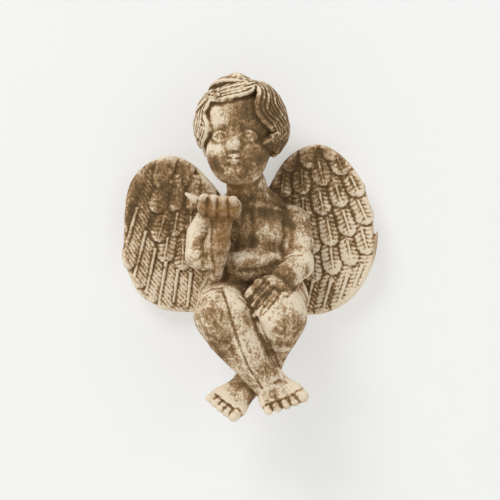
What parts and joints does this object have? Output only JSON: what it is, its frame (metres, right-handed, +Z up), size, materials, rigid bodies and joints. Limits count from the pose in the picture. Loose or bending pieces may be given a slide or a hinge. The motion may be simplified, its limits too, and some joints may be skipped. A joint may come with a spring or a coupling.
{
  "type": "wall-hung putto statue",
  "caption": "Winged putto seated with crossed ankles and one palm raised, cast in stone with a flat back to hang on a wall.",
  "frame": {"origin": "point of the flat back that lies behind the middle of the chest, in the plane of the wall", "axes": "+Z up along the figure, +Y out of the flat back into the wall, +X to the figure's left hand side"},
  "size_m": [0.2432, 0.1145, 0.32],
  "materials": {
    "cast_stone": "cast stone stained warm brown, limewashed and dry-brushed with dark umber"
  },
  "bodies": {
    "root": {"putto": "cast_stone"}
  },
  "joints": []
}
